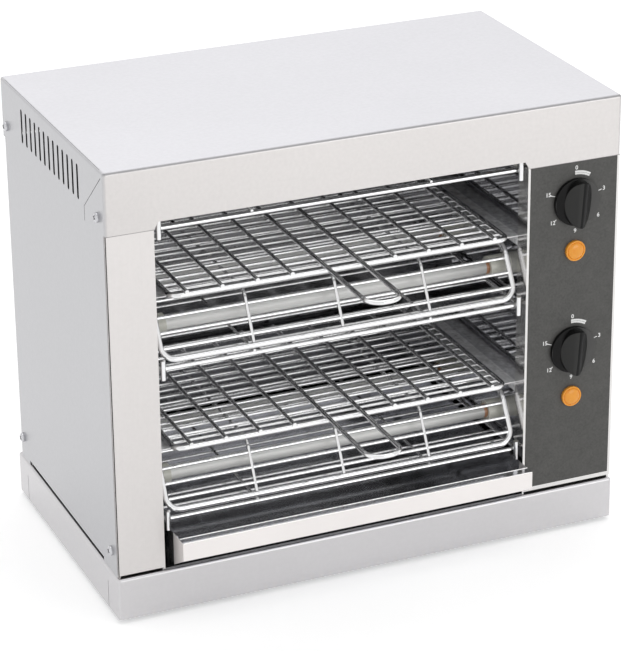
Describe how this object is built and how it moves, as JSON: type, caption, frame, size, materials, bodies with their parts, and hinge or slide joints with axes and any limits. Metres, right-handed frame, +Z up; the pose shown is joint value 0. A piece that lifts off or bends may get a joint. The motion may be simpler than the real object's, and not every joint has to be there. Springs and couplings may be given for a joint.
{
  "type": "commercial sandwich toaster",
  "caption": "Countertop stainless steel sandwich toaster with two levels of quartz tubes, sliding wire racks, a crumb tray and a timer knob and lamp for each level.",
  "frame": {"origin": "centre of the body's footprint, on the surface that the rubber feet stand on", "axes": "+X to the right seen from the front, +Y from the front to the back, +Z up"},
  "size_m": [0.4568, 0.3525, 0.39],
  "materials": {
    "body_steel": "fine brushed stainless sheet",
    "panel_steel": "bright brushed stainless",
    "chamber_steel": "mirror polished stainless, slightly heat tinted",
    "wire_steel": "bright wire",
    "tray_steel": "satin stainless",
    "base_steel": "zinc plated sheet",
    "dial_plate": "dark grey satin with white scales",
    "knob": "black satin",
    "lamp_rim": "amber, moulded with the lens",
    "lamp_lens": "amber translucent",
    "quartz": "milky quartz",
    "ceramic": "glazed steatite",
    "coil": "oxidised resistance wire",
    "copper": "bare strip",
    "rubber": "black",
    "black_plastic": "black",
    "case_plastic": "cream thermoplastic",
    "shaft_steel": "turned",
    "screw_steel": "bright zinc"
  },
  "bodies": {
    "root": {"plinth": "body_steel", "base_plate": "base_steel", "outer_cover": "body_steel", "cover_screws": "screw_steel", "rear_panel": "body_steel", "cable_gland": "black_plastic", "gland_nut": "black_plastic", "left_stile": "body_steel", "control_panel": "panel_steel", "dial_plate": "dial_plate", "cavity_left_wall": "chamber_steel", "cavity_right_wall": "chamber_steel", "cavity_back_wall": "chamber_steel", "roof_reflector": "chamber_steel", "cavity_floor": "chamber_steel", "heating_coils": "coil", "left_tube_caps": "ceramic", "right_tube_caps": "ceramic", "left_bus_links": "copper", "right_bus_links": "copper", "ceiling_guard": "wire_steel", "terminal_block": "case_plastic", "left_support_pins": "chamber_steel", "right_support_pins": "chamber_steel", "front_left_foot": "rubber", "front_right_foot": "rubber", "rear_left_foot": "rubber", "rear_right_foot": "rubber", "upper_timer": "case_plastic", "upper_lamp_bezel": "lamp_rim", "upper_lamp_lens": "lamp_lens", "upper_lamp_body": "case_plastic", "upper_rail_left": "chamber_steel", "upper_rail_right": "chamber_steel", "upper_cage_top": "wire_steel", "upper_cage_fence": "wire_steel", "upper_guard": "wire_steel", "lower_timer": "case_plastic", "lower_lamp_bezel": "lamp_rim", "lower_lamp_lens": "lamp_lens", "lower_lamp_body": "case_plastic", "lower_rail_left": "chamber_steel", "lower_rail_right": "chamber_steel", "lower_cage_top": "wire_steel", "lower_cage_fence": "wire_steel", "lower_guard": "wire_steel", "top_front_quartz_tube": "quartz", "top_rear_quartz_tube": "quartz", "middle_front_quartz_tube": "quartz", "middle_rear_quartz_tube": "quartz", "bottom_front_quartz_tube": "quartz", "bottom_rear_quartz_tube": "quartz"},
    "upper_rack_slide_body": {"upper_rack": "wire_steel", "upper_rack_handle": "wire_steel"},
    "upper_knob_body": {"upper_knob": "knob", "upper_timer_shaft": "shaft_steel"},
    "lower_rack_slide_body": {"lower_rack": "wire_steel", "lower_rack_handle": "wire_steel"},
    "lower_knob_body": {"lower_knob": "knob", "lower_timer_shaft": "shaft_steel"},
    "tray_body": {"crumb_tray": "tray_steel"}
  },
  "joints": [
    {"name": "upper_rack_slide", "type": "slide", "parent": "root", "child": "upper_rack_slide_body", "axis": [0, -1, 0], "range_m": [0, 0.15]},
    {"name": "upper_timer_turn", "type": "hinge", "parent": "root", "child": "upper_knob_body", "pos_m": [0.1845, -0.13, 0.303], "axis": [0, 1, 0], "range_deg": [0, 290]},
    {"name": "lower_rack_slide", "type": "slide", "parent": "root", "child": "lower_rack_slide_body", "axis": [0, -1, 0], "range_m": [0, 0.15]},
    {"name": "lower_timer_turn", "type": "hinge", "parent": "root", "child": "lower_knob_body", "pos_m": [0.1845, -0.13, 0.17], "axis": [0, 1, 0], "range_deg": [0, 290]},
    {"name": "crumb_tray_slide", "type": "slide", "parent": "root", "child": "tray_body", "axis": [0, -1, 0], "range_m": [0, 0.18]}
  ]
}
